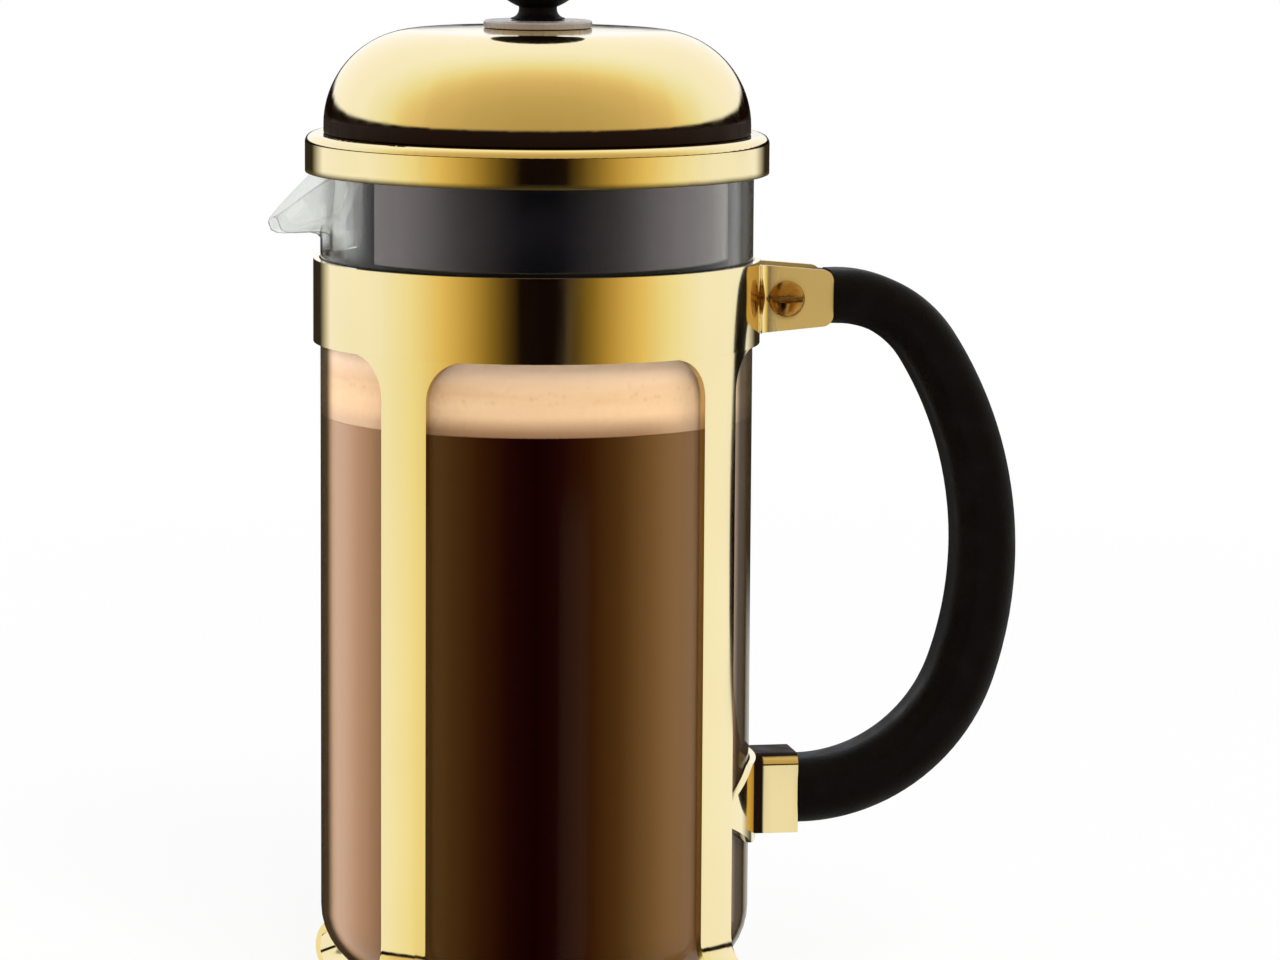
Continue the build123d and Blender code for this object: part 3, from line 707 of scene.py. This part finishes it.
def foam_finish():
    """Coffee foam: peach, streaked in layers, with small bubbles and a pale lower border; its pale top is
    painted lighter against shade, and its darker wet foot is painted lighter at the sides as by side light.
    """
    material, start, place = new_finish("foam")
    x, y, z = place.parts()
    layers = place.noise(55.0, 3.0, stretch=(0.35, 0.35, 4))
    bubbles = place.cells(520.0)
    fine = place.noise(400.0, 3.0)
    lift = z - foam_low_z + (layers - 0.5) * 0.0015
    body = layers.rise(0.35, 0.65).blend((0.80, 0.47, 0.24, 1), (0.88, 0.57, 0.32, 1))
    spotted = bubbles.rise(0.0, 0.45).blend((0.80, 0.48, 0.26, 1), body)
    # Pale top, painted lighter against the band's shadow
    pale_lit_top = z.rise(*foam_pale_lit_z, 0.0, 0.8).blend(spotted, (0.97, 0.70, 0.50, 1))
    bordered = (lift.rise(*foam_border) * 0.6).blend(pale_lit_top, (0.95, 0.64, 0.38, 1))
    # Wet foot, darker; its sides painted lighter as by side light
    wet_side_lit = side_light_share(x, y).rise(0.45, 0.85).blend((0.34, 0.18, 0.09, 1), (0.70, 0.44, 0.27, 1))
    colour = lift.rise(*foam_wet).blend(wet_side_lit, bordered)
    show(start, start.node("ShaderNodeBsdfPrincipled", None, {
        "Base Color": colour,
        "Roughness": fine.rise(0.3, 0.7, 0.5, 0.75),
        "Specular IOR Level": 0.1,
        "Normal": (bubbles + fine * 0.4).bump(0.25, 0.0005),
    }))
    return material


def kinds_of_rays(start):
    """Rays that see the studio straight or through glass, and rays that come off polished pieces."""
    seen = start.light_path("Is Camera Ray").larger(start.light_path("Is Transmission Ray"))
    glossy = start.light_path("Is Glossy Ray").larger(start.light_path("Glossy Depth"))
    return seen, glossy.rise(0.0, 1.0)


def floor_finish():
    """Pale studio floor: white to the camera and through glass, with the object's shadow kept."""
    material, start, place = new_finish("studio_floor")
    paper = place.noise(3.0, 2.0).rise(0.3, 0.7).blend((0.93, 0.93, 0.93, 1), (0.95, 0.95, 0.95, 1))
    seen, glossy = kinds_of_rays(start)
    matt = start.node("ShaderNodeBsdfDiffuse", None, {"Color": paper})
    white = start.node("ShaderNodeEmission", None, {"Color": (1, 1, 1, 1), "Strength": 1.0})
    clear = start.node("ShaderNodeBsdfTransparent", None, {"Color": (1, 1, 1, 1)})
    x, y, _ = place.parts()
    share = ((x * x + y * y) ** 0.5).rise(0.2, 1.0, 0.82, 1.0)
    lit = start.node("ShaderNodeMixShader", None, {0: seen * share, 1: matt, 2: white})
    show(start, start.node("ShaderNodeMixShader", None, {0: glossy, 1: lit, 2: clear}))
    return material


def make_floor():
    """Lay the studio floor under the object."""
    bpy.ops.object.select_all(action="DESELECT")
    bpy.ops.mesh.primitive_plane_add(size=floor_size, location=(0, 0, cad_box[0].z - floor_drop))
    floor = bpy.context.object
    floor.name = "studio_floor"
    floor.data.materials.append(floor_finish())


def make_world():
    """White round the studio; polished pieces see bright sides, a dark front and a bright ceiling."""
    world = bpy.data.worlds.new("studio")
    bpy.context.scene.world = world
    world.use_nodes = True
    world.node_tree.nodes.clear()
    start = Wire(world.node_tree)
    x, y, z = start.node("ShaderNodeTexCoord", None, None, out="Generated").parts()
    seen, glossy = kinds_of_rays(start)
    heading = radians(camera_azimuth + studio_turn)
    to_front = Vector((sin(heading), -cos(heading)))
    flat = (1.0 - z * z).larger(1e-4) ** 0.5
    ahead = x * to_front.x + y * to_front.y
    toward = ahead / flat
    rightward = (y * to_front.x - x * to_front.y) / flat
    way = ((1.0 - toward) * 0.5).larger(0.0) ** 0.5
    low = way.ramp([
        (0.0, (0.005, 0.002, 0.002)),
        (0.095, (0.007, 0.003, 0.002)),
        (0.156, (0.089, 0.054, 0.010)),
        (0.225, (0.24, 0.156, 0.025)),
        (0.309, (0.50, 0.33, 0.075)),
        (0.446, (0.83, 0.63, 0.22)),
        (0.574, (0.95, 0.90, 0.565)),
        (0.719, (1.00, 1.02, 0.98)),
        (0.925, (1.02, 1.04, 1.05)),
        (0.950, (0.44, 0.42, 0.33)),
        (0.968, (0.030, 0.024, 0.016)),
    ])
    window = rightward.rise(0.14, 0.22) * rightward.rise(0.48, 0.40) * (0.0 - z).rise(0.15, 0.175)
    low = window.blend(low, (0.93, 0.92, 0.80, 1))
    smoky = way.ramp([
        (0.0, (0.004, 0.003, 0.004)),
        (0.10, (0.015, 0.012, 0.013)),
        (0.20, (0.07, 0.055, 0.06)),
        (0.357, (0.19, 0.155, 0.165)),
        (0.45, (0.36, 0.30, 0.31)),
        (0.58, (0.76, 0.64, 0.66)),
        (0.70, (1.02, 0.88, 0.88)),
        (0.80, (1.00, 0.88, 0.85)),
        (0.938, (0.95, 0.86, 0.82)),
        (0.958, (0.05, 0.045, 0.04)),
    ])
    walls_passed = start.light_path("Transmission Depth")
    low = walls_passed.rise(2.0, 3.0).blend(low, smoky)
    high = ((1.0 - ahead) * 0.5).ramp([
        (0.0, (0.50, 0.37, 0.15)),
        (0.155, (0.586, 0.445, 0.183)),
        (0.305, (0.72, 0.55, 0.265)),
        (0.40, (0.835, 0.683, 0.34)),
        (0.47, (0.895, 0.835, 0.485)),
        (0.585, (0.955, 0.98, 0.82)),
        (0.71, (1.03, 1.05, 1.08)),
        (1.0, (1.06, 1.08, 1.12)),
    ])
    gap = (0.0 - z).rise(0.01, 0.05)
    below = gap.blend((0.007, 0.003, 0.002, 1), low)
    behind = toward.rise(-0.4, -0.8)
    ceiling = z + behind * (0.05 - abs(rightward) * 0.1).larger(0.0)
    studio = ceiling.rise(0.07, 0.115).blend(below, high)
    within_glass = walls_passed.rise(0.0, 1.0) * walls_passed.rise(3.0, 2.0)
    glow = way.rise(0.08, 0.45).blend((0.004, 0.003, 0.004, 1), (0.9, 0.9, 0.87, 1))
    studio = within_glass.blend(studio, glow)
    soft = seen.blend((0.5, 0.5, 0.5, 1), (1, 1, 1, 1))
    colour = glossy.blend(soft, studio)
    light = start.node("ShaderNodeBackground", None, {"Color": colour, "Strength": 1.0})
    start.node("ShaderNodeOutputWorld", None, {"Surface": light})


def make_lamp(name, angle, distance, height, power, width):
    """Hang a soft lamp at an angle from the camera's side of the object, aimed at its middle."""
    heading = radians(camera_azimuth - 90 + angle)
    place = Vector((distance * cos(heading), distance * sin(heading), height))
    bpy.ops.object.light_add(type="AREA", location=place)
    lamp = bpy.context.object
    lamp.name = name
    lamp.data.shape = "RECTANGLE"
    lamp.data.size = width
    lamp.data.size_y = width
    lamp.data.energy = power
    middle = Vector((0, 0, (cad_box[0].z + cad_box[1].z) / 2))
    lamp.rotation_euler = (place - middle).to_track_quat("Z", "Y").to_euler()
    lamp.visible_camera = False
    lamp.visible_glossy = False
    lamp.visible_transmission = False


def make_camera():
    """Stand the camera where the photograph was taken from."""
    azimuth = radians(camera_azimuth)
    eye = Vector((camera_distance * sin(azimuth), -camera_distance * cos(azimuth), camera_height))
    to_axis = Vector((-eye.x, -eye.y, 0)).normalized()
    level = Matrix.Rotation(radians(camera_turn), 3, "Z") @ to_axis
    pitch = radians(camera_pitch)
    forward = level * cos(pitch) - Vector((0, 0, sin(pitch)))
    right = forward.cross(Vector((0, 0, 1))).normalized()
    up = right.cross(forward)
    roll = radians(camera_roll)
    rolled_right = right * cos(roll) + up * sin(roll)
    rolled_up = up * cos(roll) - right * sin(roll)
    turn = Matrix((rolled_right, rolled_up, -forward)).transposed()
    bpy.ops.object.camera_add()
    camera = bpy.context.object
    camera.matrix_world = Matrix.Translation(eye) @ turn.to_4x4()
    camera.data.sensor_width = camera_sensor
    camera.data.lens = camera_lens
    camera.data.clip_start = camera_near
    camera.data.clip_end = camera_far
    bpy.context.scene.camera = camera


# Finishes by the record's slots, and those of single nodes
finishes = {
    "gold_plate": gold_plate_finish(),
    "borosilicate": glass_finish(),
    "black_handle": black_handle_finish(),
    "black_liner": black_liner_finish(),
    "steel": steel_finish(),
    "brass_insert": brass_insert_finish(),
    "coffee": coffee_finish(),
    "foam": foam_finish(),
}
dome_foot_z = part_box("lid_dome")[0].z
rim_foot_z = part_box("lid_rim")[0].z
bracket_top_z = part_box("lower_bracket")[1].z
bracket_back_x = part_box("lower_bracket")[0].x
special_finishes = {
    "mesh_filter": woven_steel_finish(),
    "clamp_screw": painted_dark_gold_finish(),
    # Painted shade at the dome's foot, along the rim's lower edge, along the bracket's top under the handle
    # and in the bracket's fold
    "lid_dome": gold_plate_finish("dome_gold", along(dome_foot_z, dome_painted_shade)),
    "lid_rim": gold_plate_finish("rim_gold", along(rim_foot_z, rim_painted_shade), olive_painted_shade),
    "lid_bushing": steel_finish("grey_steel", (0.40, 0.35, 0.33, 1), (0.34, 0.30, 0.285, 1), 0.3),
    "frame_band": gold_plate_finish("band_gold", ear_x=ear_start_x),
    "lower_bracket": gold_plate_finish(
        "bracket_gold", along(bracket_top_z, bracket_painted_shade), fold_shade=along(bracket_back_x, bracket_fold_shade)
    ),
}

# Pieces
node_slots = {row["node"]: row["material_slot"] for row in frame["record"]["subparts"]}
plastic_slots = ("black_handle", "black_liner")
for node, slot in node_slots.items():
    if node in ("beaker", "filter_spring"):
        continue
    edge = plastic_edge if slot in plastic_slots else sheet_edge
    dressed = rounded_copy(node, edge)
    put_on(dressed, special_finishes.get(node, finishes[slot]))
put_on(make_beaker(), finishes["borosilicate"])
put_on(make_coffee(), finishes["coffee"])
put_on(make_foam(), finishes["foam"])
put_on(make_filter_spring(), finishes["steel"])

# Studio
make_floor()
make_world()
for lamp_name, lamp_settings in lamps.items():
    make_lamp(lamp_name, *lamp_settings)
make_camera()
bpy.context.scene.view_settings.view_transform = "Standard"
